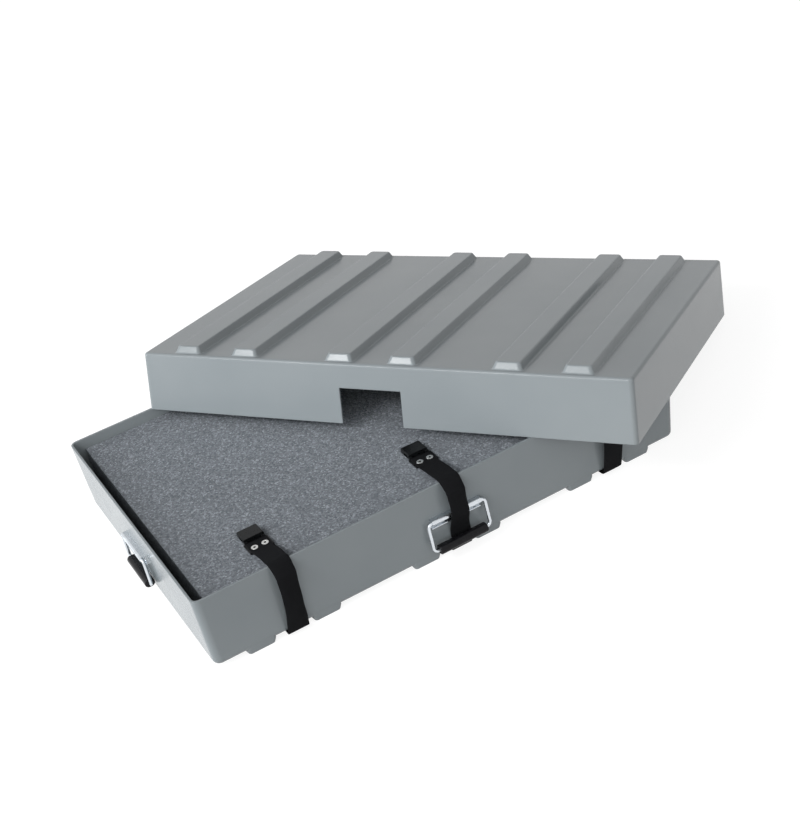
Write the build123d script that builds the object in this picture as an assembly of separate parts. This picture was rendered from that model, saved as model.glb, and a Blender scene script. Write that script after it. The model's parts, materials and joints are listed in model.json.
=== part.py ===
from build123d import *
import math
import os

os.makedirs("parts", exist_ok=True)

# A low transport case: a foam-filled tray, a telescoping lid lying across it, three straps, two handles.
# Millimetres. The tray rests on the plane z = 0 and its footprint is centred on the Z axis until export.

# Shells, moulded in plastic
tray_length = 914.0
tray_width = 610.0
tray_depth = 138.0
tray_corner_radius = 13.5
tray_bottom_radius = 11.0
lid_depth = 111.0
lid_corner_radius = 8.0
lid_crown_radius = 5.5
lid_clearance = 1.0
shell_wall = 4.0
mould_draft = 2.5

# Cross ribs, in pairs with a strap between each pair
strap_pitch = 310.0
rib_from_strap = 60.0
rib_width = 54.0
rib_draft = 24.0
rib_corner_radius = 6.0
rib_edge_radius = 2.5
lid_rib_height = 12.5
lid_rib_end_draft = 29.0
lid_rib_base_radius = 3.0
lid_rib_setback = 8.0
skid_height = 8.0
skid_setback = 0.4

# Lid notches, which clear the handles when the case is closed
notch_width = 117.0
notch_height = 66.0

# Where the lid leans: its long edge crosses the front rim, its end crosses the back rim
lid_crosses_front_x = 170.0
lid_crosses_back_x = -274.3
lid_corner_overhang = 22.0
rest_gap = 0.3

# Foam block
foam_below_rim = 20.0
foam_end_gap = 20.0
foam_side_gap = 0.5
pocket_clearance = 1.0

# Webbing straps
strap_width = 38.0
strap_thickness = 1.8
strap_shift = (4.0, 4.5, 0.0)
flap_turn = (0.0, -5.4, 0.0)
flap_turn_from_face = 7.0
crest_above_rim = 4.6
crest_outside = 1.0
crease_below_rim = 17.0
crease_outside = 17.0
strap_slack = 14.0
strap_lip_drop = 1.3
web_into_plate = 1.0
web_past_plate = 2.0
web_level_radius = 25.0
crest_radius = 14.0
crease_radius = 7.0
slack_radius = 200.0
foot_off_wall = 4.0
foot_radius = 6.0
under_past_corner = 4.0
under_radius = 30.0
fold_landing = 6.0
fold_gap = 0.2
fold_length = 112.0
fold_radius = 3.9
fold_count = 5
fold_from_wall = 20.0
strap_end_tail = 45.0
bar_along_fold = 0.55

# The middle strap, which passes over the front bracket and behind the grip
over_bracket_outwards = 8.0
over_bracket_upwards = 6.0
over_bracket_radius = 60.0
grip_pass_off_wall = 2.4
grip_pass_above_grip = 22.0
grip_pass_radius = 40.0
middle_foot_off_wall = 3.2
middle_foot_radius = 4.5

# Side-release buckles
socket_width = 37.0
socket_height = 10.0
socket_length = 29.0
socket_wall = 2.2
socket_end_wall = 2.5
socket_edge_radius = 2.5
socket_mouth_radius = 0.8
socket_window = 12.0
socket_window_from_slot = 5.0
socket_from_rim = (106.0, 120.0, 106.0)
socket_turn = (0.0, 4.0, 0.0)
slot_length = 4.0
slot_width = 26.0
neck_thickness = 5.0
plate_width = 43.0
plate_length = 28.0
plate_thickness = 2.5
plug_frame_width = 48.0
plug_frame_behind_bar = 6.0
plug_cross_from_bar = 6.5
plug_cross_length = 7.0
plug_cheek_gap = 0.8
prong_width = 6.5
prong_stem = 4.0
prong_length = 24.0
barb_length = 11.0
barb_overhang = 1.2
barb_blunting = 1.5
guide_width = 9.0
guide_shorter_by = 2.0
male_thickness = 5.0
male_bar_radius = 2.4
buckle_overlap = 1.0

# Hollow rivets through webbing and buckle plate
eyelet_spacing = 19.0
eyelet_from_socket = 23.5
eyelet_flange_radius = 6.0
eyelet_flange = 0.8
eyelet_barrel_radius = 3.2
eyelet_bore_radius = 2.2

# Rivets that hold the straps under the tray
anchor_from_centre = 245.0
anchor_shank_radius = 2.4
anchor_head_radius = 6.5
anchor_head = 1.5
anchor_tail_share = 1.8
head_rounding_share = 0.6
washer_radius = 9.0
washer_thickness = 1.2
hole_clearance = 0.15

# Handles: a wire bail with a moulded grip, hung in a rolled bracket
handle_below_rim = 63.0
front_handle_x = 3.0
bail_width = 115.0
bail_drop = 52.0
bail_corner_radius = 8.0
wire_radius = 3.0
barrel_clearance = 0.08
barrel_standoff = 7.5
bracket_length = 94.0
bracket_sheet = 1.5
bracket_drop = 14.0
bracket_lip = 5.5
grip_length = 92.0
grip_depth = 18.4
grip_height = 16.0
grip_clearance = 0.1
grip_end_radius = 2.0
grip_flat = 1.0
front_bail_tilt = 6.0
end_bail_tilt = 0.0
handle_rivet_radius = 2.0
handle_rivet_head_radius = 3.6
handle_rivet_head = 1.2
handle_tail_share = 0.9
shank_into_head = 0.5
handle_rivet_x = (24.0, 38.0)
handle_rivet_drop = 8.6
backing_thickness = 1.5
backing_height = 16.0

# Worked out from the values above
draft_slope = math.tan(math.radians(mould_draft))
rib_slope = math.tan(math.radians(rib_draft))
rim_z = tray_depth + skid_height
foam_top_z = rim_z - foam_below_rim
lid_side_step = shell_wall + lid_clearance + lid_depth * draft_slope
lid_length = tray_length + 2 * lid_side_step
lid_width = tray_width + 2 * lid_side_step
strap_centres = (-strap_pitch, 0.0, strap_pitch)
strap_names = ("left", "middle", "right")
half_web = strap_thickness / 2
under_z = skid_height - rest_gap - half_web
fold_pitch = 2 * fold_radius + fold_gap
barrel_radius = wire_radius + barrel_clearance + bracket_sheet


def half_width_at(z):
    """Distance from the tray's centre plane to the outer face of its front wall at a height."""
    return tray_width / 2 - (rim_z - z) * draft_slope


def half_length_at(z):
    """Distance from the tray's centre plane to the outer face of its end wall at a height."""
    return tray_length / 2 - (rim_z - z) * draft_slope


def moulded_block(length, width, depth, corner_radius, crown_radius):
    """Block whose rim lies on z = 0; its sides draw in towards the rounded crown at z = depth."""
    draw = 2 * depth * draft_slope
    rim = RectangleRounded(length, width, corner_radius)
    crown = Pos(0, 0, depth) * RectangleRounded(length - draw, width - draw, corner_radius)
    block = loft([rim, crown], ruled=True)
    return fillet(block.edges().group_by(Axis.Z)[-1], min(crown_radius, 0.95 * corner_radius))


def rib_block(length, width, height, end_draft, root, edge_radius):
    """One rib standing on z = 0, with a root below it that sinks into the shell as the walls slope."""
    end_slope = math.tan(math.radians(end_draft))
    base = RectangleRounded(width, length, rib_corner_radius)
    top = RectangleRounded(
        width - 2 * height * rib_slope, length - 2 * height * end_slope, rib_corner_radius
    )
    crest = loft([base, Pos(0, 0, height) * top], ruled=True)
    crest = fillet(crest.edges().group_by(Axis.Z)[-1], edge_radius)
    foot = RectangleRounded(width, length + 2 * root * draft_slope, rib_corner_radius)
    return crest + loft([Pos(0, 0, -root) * foot, base], ruled=True)


def soften_rib_bases(shell, depth, rib_length, radius):
    """Round the inside corners where the ribs rise from the crown."""
    reach_x = strap_pitch + rib_from_strap + rib_width / 2 + 1
    reach_y = rib_length / 2 + 1
    edges = shell.edges().filter_by_position(Axis.Z, depth, depth)
    edges = edges.filter_by_position(Axis.X, -reach_x, reach_x)
    edges = edges.filter_by_position(Axis.Y, -reach_y, reach_y)
    return fillet(edges, radius)


def moulded_shell(
    length, width, depth, corner_radius, crown_radius, rib_height, rib_end_draft, rib_setback, base_radius
):
    """Hollow shell of even wall with six hollow ribs across its crown, open side at z = 0."""
    outer = moulded_block(length, width, depth, corner_radius, crown_radius)
    inner = moulded_block(
        length - 2 * shell_wall,
        width - 2 * shell_wall,
        depth - shell_wall,
        corner_radius - shell_wall,
        crown_radius - shell_wall,
    )
    rib_length = width - 2 * depth * draft_slope - 2 * rib_setback
    root = crown_radius + shell_wall
    for strap_x in strap_centres:
        for side in (-1, 1):
            rib_x = strap_x + side * rib_from_strap
            rib = rib_block(rib_length, rib_width, rib_height, rib_end_draft, root, rib_edge_radius)
            hollow = rib_block(
                rib_length - 2 * root,
                rib_width - 2 * shell_wall,
                rib_height,
                rib_end_draft,
                shell_wall / 2,
                rib_edge_radius / 2,
            )
            outer += Pos(rib_x, 0, depth) * rib
            inner += Pos(rib_x, 0, depth - shell_wall) * hollow
    if base_radius > 0:
        outer = soften_rib_bases(outer, depth, rib_length, base_radius)
    return outer - inner


def anchor_places():
    """Centres of the rivets that hold the three straps to the tray's bottom."""
    lines = [x + shift for x, shift in zip(strap_centres, strap_shift)]
    return [(x, side * anchor_from_centre) for x in lines for side in (-1, 1)]


def front_wall_frame():
    """Frame on the front wall's outer face at the pivot's height: Z up the wall, -Y outwards."""
    z = rim_z - handle_below_rim
    return Location((front_handle_x, -half_width_at(z), z), (mould_draft, 0, 0))


def end_wall_frame():
    """The same frame on the left end wall."""
    z = rim_z - handle_below_rim
    return Rot(0, 0, -90) * Location((0, -half_length_at(z), z), (mould_draft, 0, 0))


def handle_rivet_places():
    """Centres of a handle's rivets in its wall frame, as (x, z)."""
    return [(side * x, -handle_rivet_drop) for x in handle_rivet_x for side in (-1, 1)]


def cylinder_y(radius, start, end):
    """Cylinder along Y from start to end."""
    return Pos(0, (start + end) / 2, 0) * Rot(90, 0, 0) * Cylinder(radius, abs(end - start))


def tray_shell():
    """The bottom shell, right way up, with its rivet holes."""
    shell = moulded_shell(
        tray_length,
        tray_width,
        tray_depth,
        tray_corner_radius,
        tray_bottom_radius,
        skid_height,
        mould_draft,
        skid_setback,
        0,
    )
    shell = Location((0, 0, rim_z), (180, 0, 0)) * shell
    for x, y in anchor_places():
        hole = Cylinder(anchor_shank_radius + hole_clearance, 4 * shell_wall)
        shell -= Pos(x, y, skid_height) * hole
    for frame in (front_wall_frame(), end_wall_frame()):
        for x, z in handle_rivet_places():
            hole = cylinder_y(handle_rivet_radius + hole_clearance, -shell_wall, 3 * shell_wall)
            shell -= frame * Pos(x, 0, z) * hole
    return shell


def lid_shell():
    """The lid in its own frame: bottom edge on z = 0, a notch in its front wall and its left end."""
    shell = moulded_shell(
        lid_length,
        lid_width,
        lid_depth,
        lid_corner_radius,
        lid_crown_radius,
        lid_rib_height,
        lid_rib_end_draft,
        lid_rib_setback,
        lid_rib_base_radius,
    )
    reach = 6 * shell_wall
    shell -= Pos(0, -lid_width / 2, 0) * Box(notch_width, reach, 2 * notch_height)
    shell -= Pos(-lid_length / 2, 0, 0) * Box(reach, notch_width, 2 * notch_height)
    return shell


def lid_rest_plane():
    """Plane of the leaning lid: two edges rest on the rim and its ceiling rests on the far corner."""
    rest_z = rim_z + rest_gap
    front = Vector(lid_crosses_front_x, -tray_width / 2, rest_z)
    back = Vector(lid_crosses_back_x, tray_width / 2, rest_z)
    span = (front - back).length
    along = (front - back).normalized()
    across = Vector(-along.Y, along.X, 0)
    corner_centre = Vector(
        tray_length / 2 - tray_corner_radius, tray_width / 2 - tray_corner_radius, rest_z
    )
    corner_reach = (corner_centre - back).dot(across) + tray_corner_radius
    lean = math.asin((lid_depth - shell_wall - rest_gap) / corner_reach)
    normal = Vector(0, 0, 1) * math.cos(lean) + across * math.sin(lean)
    side = normal.cross(along)
    # The same two contacts in the lid's own frame
    step = lid_corner_overhang - shell_wall
    local_along = Vector(math.sqrt(span**2 - step**2), -step, 0).normalized()
    local_side = Vector(-local_along.Y, local_along.X, 0)
    contact = Vector(-lid_length / 2 + shell_wall, -lid_width / 2 + lid_corner_overhang, 0)
    x_dir = along * local_along.X + side * local_side.X
    origin = back - along * contact.dot(local_along) - side * contact.dot(local_side)
    return Plane(origin=origin, x_dir=x_dir, z_dir=normal)


def foam_block():
    """Foam that fills the tray to just below its rim, with pockets for the fasteners behind it."""
    clear = shell_wall + foam_side_gap
    block = moulded_block(
        tray_length - 2 * clear,
        tray_width - 2 * clear,
        tray_depth - shell_wall - rest_gap,
        tray_corner_radius - clear,
        tray_bottom_radius - clear,
    )
    block = Location((0, 0, rim_z), (180, 0, 0)) * block
    foam_length = tray_length - 2 * (shell_wall + foam_end_gap)
    keep = Pos(0, 0, foam_top_z / 2) * Box(foam_length, tray_width, foam_top_z)
    block = block & keep
    pocket_height = washer_thickness + anchor_head + pocket_clearance
    for x, y in anchor_places():
        pocket = Cylinder(washer_radius + pocket_clearance, 2 * pocket_height)
        block -= Pos(x, y, skid_height + shell_wall) * pocket
    backing_reach = backing_thickness + handle_rivet_head + 2 * pocket_clearance
    recess = Box(
        bracket_length + 2 * pocket_clearance,
        2 * backing_reach,
        backing_height + 2 * pocket_clearance,
    )
    block -= front_wall_frame() * Pos(0, shell_wall, -handle_rivet_drop) * recess
    return block


def plate_z():
    """Underside of the riveted buckle plate, which stands on the eyelets' lower flanges."""
    return foam_top_z + rest_gap + eyelet_flange


def strap_line(index):
    """Where a strap's centre line crosses the front wall."""
    return strap_centres[index] + strap_shift[index]


def socket_near_y(index):
    """The end of a buckle's socket nearest to the front wall, before its strap is turned."""
    return -tray_width / 2 + socket_from_rim[index]


def eyelet_y(index):
    """The row of a strap's eyelets, before its strap is turned."""
    return socket_near_y(index) - eyelet_from_socket


def flap_frame(index):
    """Frame of a strap's inner end, turned about the place where it lies level over the rim."""
    turn_y = -tray_width / 2 + flap_turn_from_face
    turn = Rot(0, 0, flap_turn[index])
    return Pos(strap_line(index), turn_y, 0) * turn * Pos(0, -turn_y, 0)


def socket_frame(index):
    """Frame of a buckle, turned about its eyelets."""
    turn = Rot(0, 0, socket_turn[index])
    return flap_frame(index) * Pos(0, eyelet_y(index), 0) * turn * Pos(0, -eyelet_y(index), 0)


def eyelet_places(index):
    """Centres of a strap's eyelets in its socket's frame, as (x, y)."""
    return [(side * eyelet_spacing / 2, eyelet_y(index)) for side in (-1, 1)]


def front_route(index):
    """Points and corner radii of the webbing from the buckle, over the rim and down to the bottom."""
    wall_y = -tray_width / 2
    web_z = plate_z() + plate_thickness + half_web
    plate_far_y = socket_near_y(index) - slot_length
    points = [
        (plate_far_y - web_into_plate, web_z),
        (plate_far_y - plate_length - web_past_plate, web_z),
        (wall_y - crest_outside, rim_z + crest_above_rim),
        (wall_y - crease_outside, rim_z - crease_below_rim),
    ]
    radii = [web_level_radius, crest_radius, crease_radius]
    if strap_names[index] == "middle":
        bracket_z = rim_z - handle_below_rim
        bulge = -half_width_at(bracket_z) - barrel_standoff - barrel_radius
        low_z = grip_height + skid_height
        points += [
            (bulge - over_bracket_outwards, bracket_z + over_bracket_upwards),
            (-half_width_at(low_z) - half_web - grip_pass_off_wall, low_z + grip_pass_above_grip),
        ]
        radii += [over_bracket_radius, grip_pass_radius, middle_foot_radius]
        off_wall = middle_foot_off_wall
    else:
        points += [(wall_y - strap_slack, rim_z / 2)]
        radii += [slack_radius, foot_radius]
        off_wall = foot_off_wall
    points += [(-half_width_at(skid_height) - half_web - off_wall, under_z - strap_lip_drop)]
    return points, radii


def back_route():
    """Points and corner radii of the webbing behind the tray: out to the floor, then folded in layers."""
    floor_z = rest_gap + half_web
    near_y = tray_width / 2 + fold_from_wall
    far_y = near_y + fold_length
    points = [
        (half_width_at(skid_height) - tray_bottom_radius, under_z),
        (near_y + fold_landing, floor_z),
    ]
    radii = [under_radius, under_radius]
    z = floor_z
    for fold in range(fold_count):
        y = far_y if fold % 2 == 0 else near_y
        points += [(y, z), (y, z + fold_pitch)]
        radii += [fold_radius, fold_radius]
        z += fold_pitch
    bar_y = male_bar_y()
    points += [(bar_y + fold_radius, z), (bar_y + fold_radius, z + fold_pitch)]
    radii += [fold_radius, fold_radius]
    points += [(bar_y - strap_end_tail, z + fold_pitch)]
    return points, radii


def male_bar_y():
    """Where the last layer turns round the male half's bar."""
    return tray_width / 2 + fold_from_wall + fold_length * bar_along_fold


def male_bar_z():
    """Height of the male half's bar, at the middle of the last turn."""
    return rest_gap + half_web + fold_pitch * (fold_count + 0.5)


def turn_flap(strip, index):
    """The strip with its inner end turned about the place where it lies level over the rim."""
    if flap_turn[index] == 0:
        return Pos(strap_line(index), 0, 0) * strip
    turn_y = -tray_width / 2 + flap_turn_from_face
    overlap = strap_width / 2 * math.tan(math.radians(abs(flap_turn[index])))
    reach = socket_from_rim[index]
    region = Box(2 * strap_width, reach, rim_z, align=(Align.CENTER, Align.MIN, Align.CENTER))
    inner = strip & (Pos(0, turn_y - overlap, rim_z) * region)
    outer = strip - Pos(0, turn_y, rim_z) * region
    return Pos(strap_line(index), 0, 0) * outer + flap_frame(index) * inner


def strap(index):
    """One strap: an even strip along its whole route, holed for its eyelets and anchor rivets."""
    front_points, front_radii = front_route(index)
    under = [(-half_width_at(skid_height) + tray_bottom_radius + under_past_corner, under_z)]
    back_points, back_radii = back_route()
    route = FilletPolyline(
        *(front_points + under + back_points), radius=front_radii + [under_radius] + back_radii
    )
    strip = make_face(offset(route, amount=half_web, side=Side.BOTH))
    solid = extrude(Plane.YZ * strip, amount=strap_width / 2, both=True)
    for side in (-1, 1):
        hole = Cylinder(anchor_shank_radius + hole_clearance, 4 * strap_thickness)
        solid -= Pos(0, side * anchor_from_centre, under_z) * hole
    solid = turn_flap(solid, index)
    for x, y in eyelet_places(index):
        hole = Cylinder(eyelet_barrel_radius + hole_clearance, 6 * strap_thickness)
        solid -= socket_frame(index) * Pos(x, y, plate_z() + plate_thickness) * hole
    return solid, route.length


def buckle_female(index):
    """Female half: a socket open at its mouth and sides, and a slotted plate under the webbing."""
    near_y = socket_near_y(index)
    mid_z = foam_top_z + rest_gap + socket_height / 2
    socket = Pos(0, near_y + socket_length / 2, mid_z) * Box(socket_width, socket_length, socket_height)
    socket = fillet(socket.edges().filter_by(Axis.Y), socket_edge_radius)
    socket = fillet(socket.edges().group_by(Axis.Y)[-1], socket_mouth_radius)
    cavity_width = socket_width - 2 * socket_wall
    cavity_height = socket_height - 2 * socket_wall
    cavity = Box(
        cavity_width, 2 * socket_length, cavity_height, align=(Align.CENTER, Align.MIN, Align.CENTER)
    )
    socket -= Pos(0, near_y + socket_end_wall, mid_z) * cavity
    window_y = near_y + socket_window_from_slot + socket_window / 2
    socket -= Pos(0, window_y, mid_z) * Box(2 * socket_width, socket_window, cavity_height)
    low = (Align.CENTER, Align.MAX, Align.MIN)
    neck = Box(socket_width, slot_length + buckle_overlap, neck_thickness, align=low)
    plate = Box(plate_width, plate_length, plate_thickness, align=low)
    half = socket + Pos(0, near_y + buckle_overlap, plate_z()) * neck
    half += Pos(0, near_y - slot_length, plate_z()) * plate
    slot = Box(slot_width, slot_length, 4 * neck_thickness, align=(Align.CENTER, Align.MAX, Align.CENTER))
    half -= Pos(0, near_y, plate_z()) * slot
    for x, y in eyelet_places(index):
        hole = Cylinder(eyelet_barrel_radius + hole_clearance, 4 * plate_thickness)
        half -= Pos(x, y, plate_z()) * hole
    return socket_frame(index) * half


def buckle_male(index):
    """Male half: two barbed prongs and a guide on a frame whose bar the webbing turns round."""
    cheek = (plug_frame_width - strap_width) / 2 - plug_cheek_gap
    cheek_length = plug_cross_from_bar + plug_frame_behind_bar
    cheek_y = (plug_cross_from_bar - plug_frame_behind_bar) / 2
    root_y = plug_cross_from_bar + plug_cross_length
    outline = Rectangle(plug_frame_width, plug_cross_length)
    outline = Pos(0, plug_cross_from_bar + plug_cross_length / 2) * outline
    inner = socket_width / 2 - socket_wall - prong_width
    low_y = root_y - buckle_overlap
    tip_y = root_y + prong_length
    for side in (-1, 1):
        x = side * (plug_frame_width - cheek) / 2
        outline += Pos(x, cheek_y) * Rectangle(cheek, cheek_length + buckle_overlap)
        arm = Polyline(
            (side * inner, low_y),
            (side * (inner + prong_stem), low_y),
            (side * (inner + prong_stem), tip_y - barb_length - barb_blunting),
            (side * (inner + prong_width + barb_overhang), tip_y - barb_length),
            (side * (inner + prong_stem), tip_y),
            (side * inner, tip_y - barb_blunting),
            (side * inner, low_y),
        )
        outline += make_face(arm)
    guide = Rectangle(guide_width, prong_length - guide_shorter_by + buckle_overlap)
    outline += Pos(0, (low_y + tip_y - guide_shorter_by) / 2) * guide
    half = extrude(outline, amount=male_thickness / 2, both=True)
    half += Rot(0, 90, 0) * Cylinder(male_bar_radius, plug_frame_width - cheek)
    return Pos(strap_line(index), male_bar_y(), male_bar_z()) * half


def eyelets(index):
    """A pair of hollow rivets, each with a flange above the webbing and one below the plate."""
    low = plate_z() - eyelet_flange
    height = plate_thickness + strap_thickness + 2 * eyelet_flange
    pair = []
    for x, y in eyelet_places(index):
        barrel = Cylinder(eyelet_barrel_radius, height)
        flange = Cylinder(eyelet_flange_radius, eyelet_flange)
        flange = fillet(flange.edges().group_by(Axis.Z)[-1], eyelet_flange / 2)
        top = Pos(0, 0, (height - eyelet_flange) / 2) * flange
        bottom = Rot(180, 0, 0) * top
        eyelet = barrel + top + bottom - Cylinder(eyelet_bore_radius, 2 * height)
        pair.append(socket_frame(index) * Pos(x, y, low + height / 2) * eyelet)
    return Compound(pair)


def anchor_rivets():
    """Rivets up through each strap, the tray's bottom and a washer."""
    head_top = skid_height - rest_gap - strap_thickness
    tail_z = skid_height + shell_wall + washer_thickness
    shank = tail_z + anchor_head - head_top
    group = []
    for x, y in anchor_places():
        head = Cylinder(anchor_head_radius, anchor_head)
        head = fillet(head.edges().group_by(Axis.Z)[0], anchor_head * head_rounding_share)
        rivet = Pos(0, 0, head_top - anchor_head / 2) * head
        rivet += Pos(0, 0, head_top + shank / 2) * Cylinder(anchor_shank_radius, shank)
        tail = Cylinder(anchor_tail_share * anchor_shank_radius, anchor_head)
        rivet += Pos(0, 0, tail_z + anchor_head / 2) * tail
        group.append(Pos(x, y, 0) * rivet)
    return Compound(group)


def anchor_washers():
    """Washers on the tray's inner floor under the rivets' tails."""
    ring = Cylinder(washer_radius, washer_thickness)
    ring -= Cylinder(anchor_shank_radius + hole_clearance, 2 * washer_thickness)
    z = skid_height + shell_wall + washer_thickness / 2
    return Compound([Pos(x, y, z) * ring for x, y in anchor_places()])


def handle_bracket():
    """Sheet bracket in its wall frame: a plate on the wall, rolled over the wire at its top."""
    top = barrel_radius
    plate = Pos(0, -bracket_sheet / 2, (top - bracket_drop) / 2)
    plate = plate * Box(bracket_length, bracket_sheet, top + bracket_drop)
    roll = Pos(0, -barrel_standoff, 0) * Rot(0, 90, 0) * Cylinder(barrel_radius, bracket_length)
    shelf = Pos(0, -barrel_standoff / 2, top - bracket_sheet / 2)
    shelf = shelf * Box(bracket_length, barrel_standoff, bracket_sheet)
    lip = Pos(0, -bracket_lip / 2, bracket_sheet / 2 - bracket_drop)
    lip = lip * Box(bracket_length, bracket_lip, bracket_sheet)
    bracket = plate + shelf + roll + lip
    bore = Rot(0, 90, 0) * Cylinder(wire_radius + barrel_clearance, 2 * bracket_length)
    bracket -= Pos(0, -barrel_standoff, 0) * bore
    for x, z in handle_rivet_places():
        hole = cylinder_y(handle_rivet_radius + hole_clearance, -2 * bracket_sheet, bracket_sheet)
        bracket -= Pos(x, 0, z) * hole
    return bracket


def handle_backing():
    """Backing plate inside the wall, in the wall frame."""
    plate = Pos(0, shell_wall + backing_thickness / 2, -handle_rivet_drop)
    plate = plate * Box(bracket_length, backing_thickness, backing_height)
    for x, z in handle_rivet_places():
        hole = cylinder_y(handle_rivet_radius + hole_clearance, 0, 3 * shell_wall)
        plate -= Pos(x, 0, z) * hole
    return plate


def handle_rivets():
    """Rivets through bracket, wall and backing plate, in the wall frame."""
    inside = shell_wall + backing_thickness
    group = []
    for x, z in handle_rivet_places():
        outer_head = cylinder_y(
            handle_rivet_head_radius, -bracket_sheet - handle_rivet_head, -bracket_sheet
        )
        outer_head = fillet(outer_head.edges().group_by(Axis.Y)[0], handle_rivet_head * head_rounding_share)
        shank = cylinder_y(
            handle_rivet_radius, -bracket_sheet - shank_into_head, inside + shank_into_head
        )
        tail_radius = handle_rivet_head_radius * handle_tail_share
        tail = cylinder_y(tail_radius, inside, inside + handle_rivet_head)
        group.append(Pos(x, 0, z) * (outer_head + shank + tail))
    return Compound(group)


def handle_bail():
    """Closed wire loop hanging from its top run, whose middle is at the origin."""
    centre_width = bail_width - 2 * wire_radius
    loop = Plane.XZ * RectangleRounded(centre_width, bail_drop, bail_corner_radius)
    route = loop.wire()
    section = Plane(origin=route @ 0, z_dir=route % 0) * Circle(wire_radius)
    return Pos(0, 0, -bail_drop / 2) * sweep(section, path=route)


def handle_grip():
    """Moulded grip round the bail's bottom run."""
    section = Plane.YZ * RectangleRounded(grip_depth, grip_height, (grip_height - grip_flat) / 2)
    grip = extrude(section, amount=grip_length / 2, both=True)
    end_edges = grip.edges().group_by(Axis.X)
    grip = fillet(end_edges[0] + end_edges[-1], grip_end_radius)
    grip -= Rot(0, 90, 0) * Cylinder(wire_radius + grip_clearance, 2 * grip_length)
    return Pos(0, 0, -bail_drop) * grip


def pivot_place(frame):
    """The bail's pivot in a wall frame."""
    return (frame * Pos(0, -barrel_standoff, 0)).position


def build_parts():
    """Every piece in place around the tray, by node name."""
    parts = {"tray_shell": tray_shell()}
    parts["foam_block"] = foam_block()
    parts["lid_shell"] = lid_rest_plane().location * lid_shell()
    for index, name in enumerate(strap_names):
        solid, length = strap(index)
        print(f"strap_{name} length {length:.0f} mm")
        parts[f"strap_{name}"] = solid
        parts[f"buckle_female_{name}"] = buckle_female(index)
        parts[f"buckle_male_{name}"] = buckle_male(index)
        parts[f"buckle_eyelets_{name}"] = eyelets(index)
    parts["strap_rivets"] = anchor_rivets()
    parts["strap_washers"] = anchor_washers()
    for name, frame, turn, tilt in (
        ("front", front_wall_frame(), 0, front_bail_tilt),
        ("end", end_wall_frame(), -90, end_bail_tilt),
    ):
        swing = Pos(*pivot_place(frame)) * Rot(0, 0, turn) * Rot(-tilt, 0, 0)
        parts[f"handle_{name}_bracket"] = frame * handle_bracket()
        parts[f"handle_{name}_backing"] = frame * handle_backing()
        parts[f"handle_{name}_rivets"] = frame * handle_rivets()
        parts[f"handle_{name}_bail"] = swing * handle_bail()
        parts[f"handle_{name}_grip"] = swing * handle_grip()
    return parts


def main():
    """Build everything, move the origin to the middle of the footprint and write the files."""
    parts = build_parts()
    boxes = [part.bounding_box(optimal=True) for part in parts.values()]
    low = [min(getattr(box.min, axis) for box in boxes) for axis in "XYZ"]
    high = [max(getattr(box.max, axis) for box in boxes) for axis in "XYZ"]
    shift = Pos(-(low[0] + high[0]) / 2, -(low[1] + high[1]) / 2, -low[2])
    print("tray centre is at", tuple(round(v, 3) for v in shift.position))
    for name, frame in (("front", front_wall_frame()), ("end", end_wall_frame())):
        place = (shift * Pos(*pivot_place(frame))).position
        print(f"handle_{name} pivot", tuple(round(v, 3) for v in place))
    for name, part in parts.items():
        export_step(shift * part, f"parts/{name}.step")


main()
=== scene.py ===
"""The looks of a low transport case: grained shells, foam, webbing, buckles and wire handles."""

import json
import math
import random

import bmesh
import bpy
from mathutils import Matrix, Vector


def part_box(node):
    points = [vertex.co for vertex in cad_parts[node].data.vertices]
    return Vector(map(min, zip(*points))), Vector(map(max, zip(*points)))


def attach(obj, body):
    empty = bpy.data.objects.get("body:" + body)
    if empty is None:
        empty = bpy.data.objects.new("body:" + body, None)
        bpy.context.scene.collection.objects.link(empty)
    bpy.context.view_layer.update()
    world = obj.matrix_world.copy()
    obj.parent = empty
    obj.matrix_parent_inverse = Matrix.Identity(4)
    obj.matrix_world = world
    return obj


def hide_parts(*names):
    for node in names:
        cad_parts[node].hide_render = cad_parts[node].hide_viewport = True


MM = 0.001

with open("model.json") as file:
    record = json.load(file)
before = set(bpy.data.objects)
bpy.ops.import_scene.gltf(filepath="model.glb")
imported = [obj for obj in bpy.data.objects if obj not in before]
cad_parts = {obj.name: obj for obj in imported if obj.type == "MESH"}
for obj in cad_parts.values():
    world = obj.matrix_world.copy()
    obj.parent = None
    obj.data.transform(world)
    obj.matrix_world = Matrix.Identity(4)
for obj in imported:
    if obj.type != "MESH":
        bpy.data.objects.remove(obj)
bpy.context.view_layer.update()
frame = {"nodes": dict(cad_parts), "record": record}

# Places read from the frame
tray_low, tray_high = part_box("tray_shell")
tray_centre = (tray_low + tray_high) / 2
tray_floor = Vector((tray_centre.x, tray_centre.y, 0))
rim = Vector((tray_centre.x, tray_centre.y, tray_high.z))

# Camera, as the photograph was taken: place from the rim's centre, metres, and angles in degrees
camera_from_rim = Vector((-0.7939, -2.0111, 1.2908))
camera_heading = 20.315
camera_fall = 31.217
camera_roll = -14.082
camera_lens = 61.67
camera_sensor = 36.0
image_width = 800
image_height = 825
centre_column = 334.92
centre_row = 423.18
camera_sight = 60.0

# The tray, millimetres
tray_half_width = 305.0
rim_z = 146.0
tray_bottom_radius = 11.0
draft_slope = math.tan(math.radians(2.5))
tray_depth = 138.0
bottom_half_width = tray_half_width - tray_depth * draft_slope
anchor_from_centre = 245.0
rest_gap = 0.3

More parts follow.
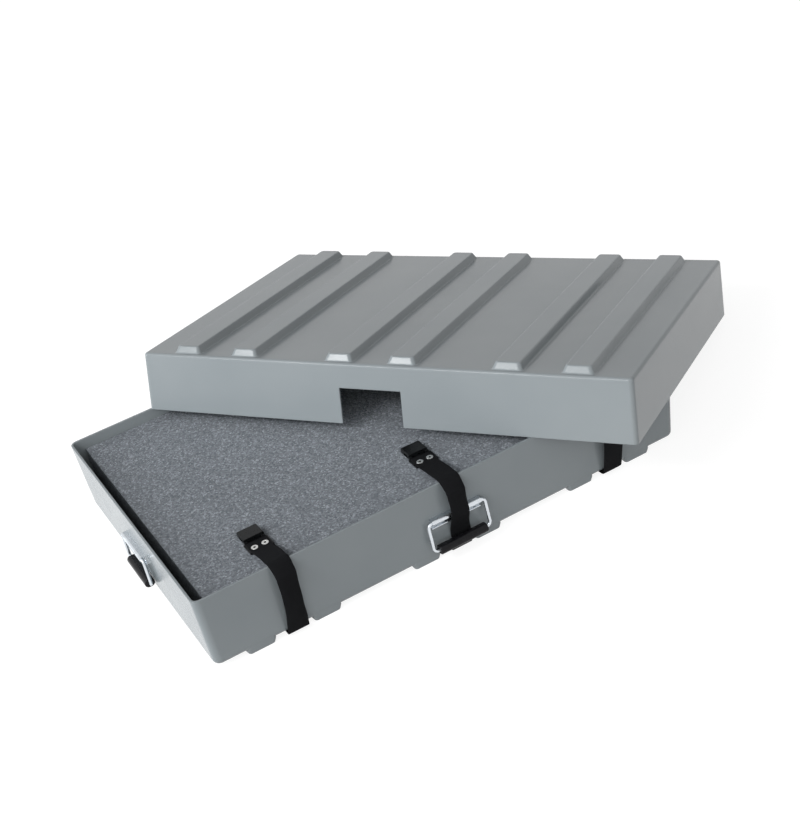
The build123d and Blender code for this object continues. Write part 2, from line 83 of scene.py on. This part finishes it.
# Straps, millimetres: each follows its CAD strap's route, from its buckle to its far end
strap_names = ("left", "middle", "right")
strap_width = 38.0
strap_thickness = 1.8
strap_centres = (-306.0, 4.5, 310.0)
flap_turn = (0.0, -5.4, 0.0)
flap_turn_from_face = 7.0
socket_from_rim = (106.0, 120.0, 106.0)
slot_length = 4.0
plate_length = 28.0
web_into_plate = 1.0
web_past_plate = 2.0
web_z = 130.5
web_level_radius = 25.0
under_z = 6.8
under_past_corner = 4.0
under_radius = 30.0
crest_above_rim = 4.6
crest_outside = 1.0
crest_radius = 14.0
crease_below_rim = 17.0
crease_outside = 17.0
crease_radius = 3.5
front_hang = ([(-319.0, 73.0)], [(-322.3, 89.0), (-303.0, 46.0)], [(-319.0, 73.0)])
front_radii = ([200.0], [60.0, 40.0], [200.0])
foot_outside = (4.9, 4.1, 4.9)
foot_radius = (6.0, 4.5, 6.0)
lip_drop = 1.3
fold_length = 112.0
fold_radius = 3.9
fold_count = 5
fold_from_wall = 20.0
fold_landing = 6.0
fold_pitch = 2 * fold_radius + 0.2
bar_along_fold = 0.55
strap_end_tail = 45.0

# How each strap hangs: (length past the crest, sideways shift, width share, curl, twist).
# The curl bows the web by its height, half of it up at the middle and half down at the selvedges.
hang_keys = (
    [
        (-40, 0, 1, 0, 0),
        (-8, -2, 1, 0.3, 0),
        (26, -0.5, 0.95, 1.5, 0.12),
        (55, 0, 0.93, 3.5, 0.24),
        (95, 0, 0.94, 2.5, 0.2),
        (130, 0, 0.99, 0.5, 0.03),
        (150, 0, 1, 0, 0),
    ],
    [
        (-40, 0, 1, 0, 0),
        (-8, -1, 0.98, 0.3, 0),
        (26, 0, 0.95, 1.5, 0.1),
        (50, 0.3, 0.93, 2.5, 0.18),
        (90, 2, 0.98, 0.6, 0.04),
        (125, 3, 1, 0, 0),
        (175, 0, 1, 0, 0),
    ],
    [
        (-40, 0, 1, 0, 0),
        (-8, 0.5, 1, 0.3, 0),
        (26, 1.5, 1, 0.8, 0),
        (80, 3, 1, 1.0, -0.04),
        (140, 3, 1, 0.3, 0),
        (185, 0, 1, 0, 0),
    ],
)

# The flap's turn fades out over the rim, millimetres
flap_blend = 12.0
flap_ends_past_crest = 20.0

# The weave's pitches in metres, and where the web's middle lies across its cords in millimetres
cord_pitch = 0.0017
weft_pitch = 0.0012
weave_middle = 50.0

# Foam detail, metres; the broad waves turn by radians to a metre from their starts in radians
foam_cell = 0.005
foam_edge_inset = 0.0006
foam_edge_drop = 0.00024
foam_top_sink = 0.0006
foam_wave = 0.0004
foam_wave_turns = (31.0, 27.0)
foam_wave_starts = (1.3, 0.4)
foam_seed = 7
foam_roughness = 0.00022
foam_edge_depth = 0.003
pocket_reach = 0.01
pocket_below_foam = 0.016
pocket_over_washer = 0.0025
recess_spare = 0.001

# Ribbon fineness: degrees round a corner and millimetres along a run
arc_step = 12.0
arc_least_steps = 3
run_step = 6.0
run_least = 0.001

# Light: the floor's brightness for the light it throws back, then for its shadow and its own glow
# as they are seen, and how bright the surroundings are all round, from the left and from the front
floor_reach = 30.0
floor_bounce = 0.45
floor_shadow = 0.25
floor_glow = 0.86
soft_even = 0.04
soft_from_left = 1.1
soft_from_front = (-0.8, -1.4)

# Lamps: name, place, target and size in metres, power in watts, colour
lamps = (
    ("left_box", (-4.6, 2.2, 0.9), (0, 0, 0.1), (2.0, 2.0), 112, (0.86, 0.94, 1.0)),
    ("key", (-4.0, -0.85, 3.54), (-0.17, -0.2, 0.26), (2.6, 0.4), 112, (1.0, 1.0, 1.0)),
)


def aim_camera():
    """The camera, turned about its own line of sight as the photograph is."""
    heading = math.radians(camera_heading)
    fall = math.radians(camera_fall)
    roll = math.radians(camera_roll)
    level_x, level_y = math.sin(heading), math.cos(heading)
    ahead = Vector((level_x * math.cos(fall), level_y * math.cos(fall), -math.sin(fall)))
    sideways = ahead.cross(Vector((0, 0, 1))).normalized()
    upright = sideways.cross(ahead)
    right = sideways * math.cos(roll) + upright * math.sin(roll)
    up = upright * math.cos(roll) - sideways * math.sin(roll)
    data = bpy.data.cameras.new("camera")
    data.sensor_width = camera_sensor
    data.lens = camera_lens
    data.shift_x = (image_width / 2 - centre_column) / image_height
    data.shift_y = (centre_row - image_height / 2) / image_height
    data.clip_end = camera_sight
    camera = bpy.data.objects.new("camera", data)
    turn = Matrix((right, up, -ahead)).transposed().to_4x4()
    camera.matrix_world = Matrix.Translation(rim + camera_from_rim) @ turn
    bpy.context.scene.collection.objects.link(camera)
    bpy.context.scene.camera = camera


aim_camera()


class Nodes:
    """A material's or the world's node tree, written as short lines."""

    def __init__(self, name, world=False):
        self.owner = bpy.data.worlds.new(name) if world else bpy.data.materials.new(name)
        self.owner.use_nodes = True
        self.tree = self.owner.node_tree
        self.tree.nodes.clear()
        kind = "World" if world else "Material"
        self.output = self.tree.nodes.new("ShaderNodeOutput" + kind)

    def add(self, kind, inputs=None, **settings):
        """A new node, with values or links for its inputs."""
        node = self.tree.nodes.new("ShaderNode" + kind)
        for name, value in settings.items():
            setattr(node, name, value)
        for name, value in (inputs or {}).items():
            self.set(node, name, value)
        return node

    def set(self, node, name, value):
        """Link a socket to a node's input, or give the input a plain value."""
        socket = node.inputs[name]
        if isinstance(value, bpy.types.NodeSocket):
            self.tree.links.new(value, socket)
        else:
            socket.default_value = value

    def maths(self, operation, a, b=0.0):
        """The result of a sum on one or two numbers."""
        return self.add("Math", {0: a, 1: b}, operation=operation).outputs[0]

    def ramp(self, factor, *stops):
        """A colour that runs through stops of (place, colour)."""
        node = self.add("ValToRGB", {"Fac": factor})
        elements = node.color_ramp.elements
        while len(elements) < len(stops):
            elements.new(0.5)
        for element, (place, colour) in zip(elements, stops):
            element.position = place
            element.color = (*colour, 1)
        return node.outputs["Color"]

    def noise(self, where, scale, detail=2.0):
        """Cloudy values about 0.5."""
        inputs = {"Vector": where, "Scale": scale, "Detail": detail}
        return self.add("TexNoise", inputs).outputs["Fac"]

    def grain(self, shader, height, strength, distance, edge_radius=0.0):
        """Give a shader a bump, over edges that the light sees rounded by a radius."""
        node = self.add("Bump", {"Height": height, "Strength": strength, "Distance": distance})
        if edge_radius > 0:
            soft_edge = self.add("Bevel", {"Radius": edge_radius}, samples=6)
            self.set(node, "Normal", soft_edge.outputs["Normal"])
        self.set(shader, "Normal", node.outputs["Normal"])

    def spread(self, value, low, high, new_low, new_high):
        """A value's range mapped on to another."""
        inputs = {"Value": value, "From Min": low, "From Max": high}
        inputs.update({"To Min": new_low, "To Max": new_high})
        return self.add("MapRange", inputs).outputs["Result"]

    def plainly_seen(self):
        """1 for what the camera, a gloss or something clear shows, else 0."""
        path = self.add("LightPath").outputs
        through = self.maths("MAXIMUM", path["Is Glossy Ray"], path["Is Transmission Ray"])
        return self.maths("MAXIMUM", path["Is Camera Ray"], through)

    def surface(self, shader):
        """Finish the tree with a shader, and give back its material or world."""
        self.tree.links.new(shader, self.output.inputs["Surface"])
        return self.owner


def grey(value):
    """An even colour with its alpha."""
    return (value, value, value, 1)


def moulded_plastic():
    """Grey polyethylene with a fine grain, faint mottling and a slightly uneven gloss."""
    n = Nodes("moulded_plastic")
    where = n.add("TexCoord").outputs["Object"]
    cloud = n.noise(where, 5.0, 3.0)
    colour = n.ramp(cloud, (0.3, (0.196, 0.220, 0.232)), (0.7, (0.218, 0.241, 0.251)))
    pores = n.add("TexVoronoi", {"Vector": where, "Scale": 620.0}, feature="SMOOTH_F1")
    fine = n.maths("MULTIPLY", n.noise(where, 900.0), 0.5)
    grain = n.maths("ADD", pores.outputs["Distance"], fine)
    shader = n.add("BsdfPrincipled", {"Specular IOR Level": 0.3})
    n.set(shader, "Base Color", colour)
    n.set(shader, "Roughness", n.spread(n.noise(where, 22.0), 0.3, 0.7, 0.19, 0.23))
    n.grain(shader, grain, 0.06, 0.0005, 0.002)
    return n.surface(shader.outputs["BSDF"])


def cut_foam():
    """Blue-grey open-cell foam, cut flat: pale cell rims and dark pores."""
    n = Nodes("cut_foam")
    where = n.add("TexCoord").outputs["Object"]
    warp = n.add("TexNoise", {"Vector": where, "Scale": 90.0, "Detail": 2.0}).outputs["Color"]
    bend = {0: warp, 1: (0.004, 0.004, 0.004), 2: where}
    warped = n.add("VectorMath", bend, operation="MULTIPLY_ADD").outputs["Vector"]
    cells = n.add("TexVoronoi", {"Vector": warped, "Scale": 330.0})
    chance = n.add("SeparateColor", {"Color": cells.outputs["Color"]}).outputs[0]
    fine = n.add("TexVoronoi", {"Vector": warped, "Scale": 700.0})
    fine_chance = n.add("SeparateColor", {"Color": fine.outputs["Color"]}).outputs[0]
    chance = n.maths("MULTIPLY", chance, 0.68)
    mixed = n.maths("ADD", chance, n.maths("MULTIPLY", fine_chance, 0.32))
    colour = n.ramp(
        mixed,
        (0.15, (0.120, 0.132, 0.148)),
        (0.45, (0.171, 0.186, 0.205)),
        (0.72, (0.206, 0.225, 0.248)),
        (0.92, (0.350, 0.376, 0.404)),
    )
    height = n.maths("ADD", mixed, n.maths("MULTIPLY", cells.outputs["Distance"], -0.6))
    shader = n.add("BsdfPrincipled", {"Roughness": 0.95, "Specular IOR Level": 0.15})
    n.set(shader, "Base Color", colour)
    n.grain(shader, height, 0.45, 0.0012)
    return n.surface(shader.outputs["BSDF"])


def woven_web():
    """Black webbing: raised warp cords along the strap, crossed by fine weft, its colour painted
    darker in the hollows between them as painted shade and lighter on their raised tops as painted
    highlight.

    The attribute "lay" holds the place across and along the web, in metres.
    """
    n = Nodes("woven_web")
    lay = n.add("Attribute", attribute_name="lay").outputs["Vector"]
    parts = n.add("SeparateXYZ", {"Vector": lay}).outputs
    across = n.maths("MULTIPLY", parts["X"], math.tau / cord_pitch)
    along = n.maths("MULTIPLY", parts["Y"], math.tau / weft_pitch)
    cord = n.maths("FLOOR", n.maths("MULTIPLY", parts["X"], 1 / cord_pitch))
    half_turn = n.maths("MULTIPLY", cord, math.pi)
    cords = n.maths("ABSOLUTE", n.maths("SINE", n.maths("MULTIPLY", across, 0.5)))
    picks = n.maths("SINE", n.maths("ADD", along, half_turn))
    weave = n.maths("MULTIPLY", cords, n.maths("ADD", n.maths("MULTIPLY", picks, 0.35), 0.65))
    fuzz = n.noise(n.add("TexCoord").outputs["Object"], 700.0, 3.0)
    # Painted shade and highlight: the colour follows the weave's height, darker between cords and
    # picks and lighter on their tops; the fuzz varies it at random.
    painted_weave_shade = n.maths("MULTIPLY", weave, n.spread(fuzz, 0.3, 0.7, 0.7, 1.15))
    colour = n.ramp(painted_weave_shade, (0.0, (0.003, 0.003, 0.0035)), (1.0, (0.020, 0.021, 0.023)))
    shader = n.add("BsdfPrincipled", {"Roughness": 0.7, "Specular IOR Level": 0.03})
    n.set(shader, "Base Color", colour)
    n.grain(shader, weave, 0.8, 0.0004)
    return n.surface(shader.outputs["BSDF"])


def black_plastic(name, base, roughness):
    """Black moulded plastic with a faint spark-eroded grain and scuffs."""
    n = Nodes(name)
    where = n.add("TexCoord").outputs["Object"]
    scuffs = n.noise(where, 140.0, 5.0)
    colour = n.ramp(scuffs, (0.35, base), (0.8, tuple(value * 1.8 for value in base)))
    shader = n.add("BsdfPrincipled", {"Specular IOR Level": 0.16})
    n.set(shader, "Base Color", colour)
    n.set(shader, "Roughness", n.spread(scuffs, 0.3, 0.7, roughness - 0.05, roughness + 0.07))
    n.grain(shader, n.noise(where, 2600.0), 0.12, 0.0002, 0.0006)
    return n.surface(shader.outputs["BSDF"])


def plated(name, colour, roughness, spangle):
    """Plated steel with a faint drawn or crystalline cast."""
    n = Nodes(name)
    where = n.add("TexCoord").outputs["Object"]
    cast = n.noise(where, spangle, 3.0)
    darker = tuple(value * 0.86 for value in colour)
    shader = n.add("BsdfPrincipled", {"Metallic": 1.0})
    n.set(shader, "Base Color", n.ramp(cast, (0.3, darker), (0.7, colour)))
    n.set(shader, "Roughness", n.spread(cast, 0.3, 0.7, roughness - 0.06, roughness + 0.08))
    n.grain(shader, n.noise(where, 1500.0), 0.1, 0.0002, 0.0004)
    return n.surface(shader.outputs["BSDF"])


zinc = plated("bright_zinc", (0.72, 0.76, 0.80), 0.26, 60.0)
slot_materials = {
    "shell": moulded_plastic(),
    "foam": cut_foam(),
    "webbing": woven_web(),
    "buckle": black_plastic("acetal", (0.004, 0.0045, 0.005), 0.3),
    "eyelet": plated("nickel", (0.58, 0.58, 0.57), 0.22, 200.0),
    "zinc_plate": zinc,
    "zinc_wire": zinc,
    "grip": black_plastic("grip_plastic", (0.005, 0.005, 0.006), 0.22),
}
for part in frame["record"]["subparts"]:
    node = frame["nodes"][part["node"]]
    node.data.materials.clear()
    node.data.materials.append(slot_materials[part["material_slot"]])


def add_piece(name, mesh, slot, body="tray"):
    """A piece of the object made from a mesh, riding on a body."""
    piece = bpy.data.objects.new(name, mesh)
    bpy.context.scene.collection.objects.link(piece)
    mesh.materials.append(slot_materials[slot])
    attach(piece, body)
    return piece


def foam_top_height(x, y):
    """How far the cut face rises and falls about its mean, in metres."""
    along = math.sin(x * foam_wave_turns[0] + foam_wave_starts[0])
    across = math.sin(y * foam_wave_turns[1] + foam_wave_starts[1])
    return along * across * foam_wave + random.uniform(-foam_roughness, foam_roughness)


def pocket_cutter(places):
    """Boxes to take out of the foam, as one mesh object."""
    cutter = bmesh.new()
    for low, high in places:
        turn = Matrix.Translation((low + high) / 2) @ Matrix.Diagonal((*(high - low), 1))
        bmesh.ops.create_cube(cutter, size=1.0, matrix=turn)
    mesh = bpy.data.meshes.new("cutter")
    cutter.to_mesh(mesh)
    piece = bpy.data.objects.new("cutter", mesh)
    bpy.context.scene.collection.objects.link(piece)
    return piece


def foam_pockets(low):
    """Boxes of the pockets round the strap washers and the front handle's backing plate."""
    pockets = []
    washer_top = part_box("strap_washers")[1].z
    for x in strap_centres:
        for y in (-anchor_from_centre, anchor_from_centre):
            centre = tray_floor + Vector((x, y, 0)) * MM
            reach = Vector((pocket_reach, pocket_reach, 0))
            pocket_low, pocket_high = centre - reach, centre + reach
            pocket_low.z = low.z - pocket_below_foam
            pocket_high.z = washer_top + pocket_over_washer
            pockets.append((pocket_low, pocket_high))
    backing_low, backing_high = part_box("handle_front_backing")
    rivets_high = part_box("handle_front_rivets")[1]
    spare = Vector((recess_spare, recess_spare, recess_spare))
    recess_low = Vector((backing_low.x, low.y - pocket_reach, backing_low.z)) - spare
    recess_high = Vector((backing_high.x, rivets_high.y, backing_high.z)) + spare
    return pockets + [(recess_low, recess_high)]


def lay_foam():
    """The foam pad: an uneven cut face, straight ends and sides that follow the tray's draft."""
    random.seed(foam_seed)
    low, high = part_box("foam_block")
    middle = (low + high) / 2
    half_x = (high.x - low.x) / 2
    half_y = (high.y - low.y) / 2
    bottom_half_y = half_y - (high.z - low.z) * draft_slope
    columns = round(2 * half_x / foam_cell)
    rows = round(2 * half_y / foam_cell)
    pad = bmesh.new()
    grid = []
    for column in range(columns + 1):
        line = []
        for row in range(rows + 1):
            x = -half_x + 2 * half_x * column / columns
            y = -half_y + 2 * half_y * row / rows
            at_end = column in (0, columns)
            at_side = row in (0, rows)
            if at_end:
                x -= math.copysign(foam_edge_inset, x)
            if at_side:
                y -= math.copysign(foam_edge_inset, y)
            if at_end or at_side:
                z = high.z - foam_edge_drop
            else:
                z = high.z + (foam_top_height(x, y) - foam_top_sink)
            line.append(pad.verts.new((middle.x + x, middle.y + y, z)))
        grid.append(line)
    for line, further in zip(grid, grid[1:]):
        for row in range(rows):
            pad.faces.new((line[row], further[row], further[row + 1], line[row + 1]))
    rim_loop = [grid[c][0] for c in range(columns)]
    rim_loop += [grid[columns][r] for r in range(rows)]
    rim_loop += [grid[c][rows] for c in range(columns, 0, -1)]
    rim_loop += [grid[0][r] for r in range(rows, 0, -1)]
    ring = rim_loop
    for height, half_depth in ((high.z - foam_edge_depth, half_y), (low.z, bottom_half_y)):
        below = []
        for vert in rim_loop:
            x = (vert.co.x - middle.x) * half_x / (half_x - foam_edge_inset)
            y = (vert.co.y - middle.y) * half_depth / (half_y - foam_edge_inset)
            x = max(-half_x, min(half_x, x))
            y = max(-half_depth, min(half_depth, y))
            below.append(pad.verts.new((middle.x + x, middle.y + y, height)))
        for i, vert in enumerate(ring):
            j = (i + 1) % len(ring)
            pad.faces.new((vert, below[i], below[j], ring[j]))
        ring = below
    pad.faces.new(list(reversed(ring)))
    bmesh.ops.recalc_face_normals(pad, faces=pad.faces)
    mesh = bpy.data.meshes.new("foam_pad")
    pad.to_mesh(mesh)
    piece = add_piece("foam_pad", mesh, "foam")
    cutter = pocket_cutter(foam_pockets(low))
    cut = piece.modifiers.new("pockets", "BOOLEAN")
    cut.object = cutter
    cut.operation = "DIFFERENCE"
    cut.solver = "EXACT"
    evaluated = piece.evaluated_get(bpy.context.evaluated_depsgraph_get())
    finished = bpy.data.meshes.new_from_object(evaluated)
    piece.modifiers.clear()
    piece.data = finished
    bpy.data.objects.remove(cutter)
    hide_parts("foam_block")


def rounded(points, radii):
    """A line through points with arcs at its corners, as (y, z) places close together."""
    line = [points[0]]
    last = points[0]
    for corner, after, radius in zip(points[1:-1], points[2:], radii):
        come = Vector(corner) - Vector(last)
        leave = Vector(after) - Vector(corner)
        come.normalize()
        leave.normalize()
        turn = come.angle(leave)
        reach = radius * math.tan(turn / 2)
        start = Vector(corner) - come * reach
        side = 1 if come.cross(leave) > 0 else -1
        centre = start + Vector((-come.y, come.x)) * side * radius
        steps = max(arc_least_steps, math.ceil(math.degrees(turn) / arc_step))
        add_run(line, start)
        for i in range(1, steps + 1):
            angle = side * turn * i / steps
            spoke = start - centre
            c, s = math.cos(angle), math.sin(angle)
            swung = Vector((spoke.x * c - spoke.y * s, spoke.x * s + spoke.y * c))
            line.append(tuple(centre + swung))
        last = corner
    add_run(line, Vector(points[-1]))
    return line


def add_run(line, end):
    """Add places along a straight run to its end."""
    start = Vector(line[-1])
    if (end - start).length < run_least:
        return
    steps = max(1, math.ceil((end - start).length / run_step))
    for i in range(1, steps + 1):
        line.append(tuple(start.lerp(end, i / steps)))


def keyed(table, place):
    """Values eased between the keys of a table of (place, value, value ...), held past its ends."""
    if place <= table[0][0]:
        return table[0][1:]
    for low, high in zip(table, table[1:]):
        if place <= high[0]:
            share = (place - low[0]) / (high[0] - low[0])
            share = share * share * (3 - 2 * share)
            return tuple(a + (b - a) * share for a, b in zip(low[1:], high[1:]))
    return table[-1][1:]


def strap_route(index):
    """The CAD strap's route in millimetres, from the buckle to its far end, as points and radii."""
    wall_y = -tray_half_width
    plate_y = wall_y + socket_from_rim[index] - slot_length
    points = [
        (plate_y - web_into_plate, web_z),
        (plate_y - plate_length - web_past_plate, web_z),
        (wall_y - crest_outside, rim_z + crest_above_rim),
        (wall_y - crease_outside, rim_z - crease_below_rim),
    ]
    radii = [web_level_radius, crest_radius, crease_radius]
    points += front_hang[index]
    radii += front_radii[index]
    foot_y = bottom_half_width
    points += [
        (-foot_y - foot_outside[index], under_z - lip_drop),
        (-foot_y + tray_bottom_radius + under_past_corner, under_z),
    ]
    radii += [foot_radius[index], under_radius]
    floor_z = rest_gap + strap_thickness / 2
    near_y = tray_half_width + fold_from_wall
    far_y = near_y + fold_length
    points += [(foot_y - tray_bottom_radius, under_z), (near_y + fold_landing, floor_z)]
    radii += [under_radius, under_radius]
    z = floor_z
    for fold in range(fold_count):
        y = far_y if fold % 2 == 0 else near_y
        points += [(y, z), (y, z + fold_pitch)]
        radii += [fold_radius, fold_radius]
        z += fold_pitch
    bar_y = near_y + fold_length * bar_along_fold
    points += [(bar_y + fold_radius, z), (bar_y + fold_radius, z + fold_pitch)]
    radii += [fold_radius, fold_radius]
    points += [(bar_y - strap_end_tail, z + fold_pitch)]
    return points, radii


def web_profile():
    """Places round a web's section as shares of its half-width and half-thickness."""
    shares = (-0.93, -0.7, -0.45, -0.2, 0.0, 0.2, 0.45, 0.7, 0.93)
    top = [(share, 1.0) for share in shares]
    right = [(0.975, 0.8), (1.0, 0.0), (0.975, -0.8)]
    bottom = [(share, -1.0) for share in reversed(shares)]
    left = [(-0.975, -0.8), (-1.0, 0.0), (-0.975, 0.8)]
    return top + right + bottom + left


def weave_strap(index):
    """One strap as a woven ribbon along its route, narrowed and shifted where it hangs in front."""
    name = strap_names[index]
    points, radii = strap_route(index)
    line = [Vector(place) for place in rounded(points, radii)]
    turn_y = -tray_half_width + flap_turn_from_face
    crest_length = abs(points[0][0] + tray_half_width + crest_outside)
    profile = web_profile()
    web = bmesh.new()
    lay = web.verts.layers.float_vector.new("lay")
    rings = []
    length = 0.0
    for i, here in enumerate(line):
        before = line[max(i - 1, 0)]
        after = line[min(i + 1, len(line) - 1)]
        along = (after - before).normalized()
        normal = Vector((along.y, -along.x))
        length += (here - before).length
        past_crest = length - crest_length
        shift, width, curl, twist = keyed(hang_keys[index], past_crest)
        ring = []
        for share, face in profile:
            offset = share * width * strap_width / 2
            rise = face * strap_thickness / 2 + curl * (0.5 - share * share)
            rise -= offset * twist
            place = Vector((offset + shift, here.x + normal.x * rise, here.y + normal.y * rise))
            if past_crest < flap_ends_past_crest:
                blend = max(0.0, min(1.0, (place.y - turn_y) / flap_blend + 0.5))
                swing = Matrix.Rotation(math.radians(flap_turn[index]) * blend, 3, "Z")
                pin = Vector((0, turn_y, 0))
                place = swing @ (place - pin) + pin
            place.x += strap_centres[index]
            vert = web.verts.new(tray_floor + place * MM)
            vert[lay] = ((share * strap_width / 2 + weave_middle) * MM, length * MM, 0)
            ring.append(vert)
        rings.append(ring)
    for near, far in zip(rings, rings[1:]):
        for j in range(len(profile)):
            k = (j + 1) % len(profile)
            web.faces.new((near[j], near[k], far[k], far[j]))
    web.faces.new(rings[0])
    web.faces.new(list(reversed(rings[-1])))
    bmesh.ops.recalc_face_normals(web, faces=web.faces)
    for face in web.faces:
        face.smooth = True
    mesh = bpy.data.meshes.new(f"web_{name}")
    web.to_mesh(mesh)
    piece = add_piece(f"web_{name}", mesh, "webbing")
    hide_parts(f"strap_{name}")


lay_foam()
for index in range(len(strap_names)):
    weave_strap(index)


def lay_floor():
    """A white floor that keeps the object's shadow and melts into the white background."""
    mesh = bpy.data.meshes.new("floor")
    signs = ((-1, -1), (1, -1), (1, 1), (-1, 1))
    corners = [(x * floor_reach, y * floor_reach, 0) for x, y in signs]
    mesh.from_pydata(corners, [], [(0, 1, 2, 3)])
    floor = bpy.data.objects.new("floor", mesh)
    bpy.context.scene.collection.objects.link(floor)
    n = Nodes("floor")
    seen = n.plainly_seen()
    bounce = n.add("BsdfDiffuse", {"Color": grey(floor_bounce)})
    shaded = n.add("BsdfDiffuse", {"Color": grey(floor_shadow)})
    glow = n.add("Emission", {"Color": grey(1), "Strength": floor_glow})
    white = n.add("AddShader", {0: shaded.outputs[0], 1: glow.outputs[0]})
    mixed = n.add("MixShader", {0: seen, 1: bounce.outputs[0], 2: white.outputs[0]})
    mesh.materials.append(n.surface(mixed.outputs[0]))


def light_world():
    """Soft light from the left and the front left; plain white for the camera and for gloss."""
    n = Nodes("world", world=True)
    parts = n.add("SeparateXYZ", {"Vector": n.add("TexCoord").outputs["Generated"]}).outputs
    path = n.add("LightPath").outputs
    leftward = n.maths("MAXIMUM", n.maths("MULTIPLY", parts["X"], -soft_from_left), 0.0)
    slant_x = n.maths("MULTIPLY", parts["X"], soft_from_front[0])
    slant_y = n.maths("MULTIPLY", parts["Y"], soft_from_front[1])
    forward = n.maths("MAXIMUM", n.maths("ADD", slant_x, slant_y), 0.0)
    soft = n.maths("ADD", n.maths("ADD", leftward, forward), soft_even)
    given = n.maths("MULTIPLY", soft, path["Is Diffuse Ray"])
    strength = n.maths("ADD", given, n.plainly_seen())
    background = n.add("Background", {"Color": grey(1), "Strength": strength})
    bpy.context.scene.world = n.surface(background.outputs[0])


def hang_lamp(name, place, target, size, power, colour):
    """A soft rectangular lamp that faces a target."""
    data = bpy.data.lights.new(name, "AREA")
    data.shape = "RECTANGLE"
    data.size, data.size_y = size
    data.energy = power
    data.color = colour
    lamp = bpy.data.objects.new(name, data)
    lamp.location = place
    lamp.rotation_mode = "QUATERNION"
    lamp.rotation_quaternion = (Vector(target) - Vector(place)).to_track_quat("-Z", "Y")
    bpy.context.scene.collection.objects.link(lamp)


lay_floor()
light_world()
for lamp in lamps:
    hang_lamp(*lamp)

bpy.context.scene.view_settings.view_transform = "Standard"
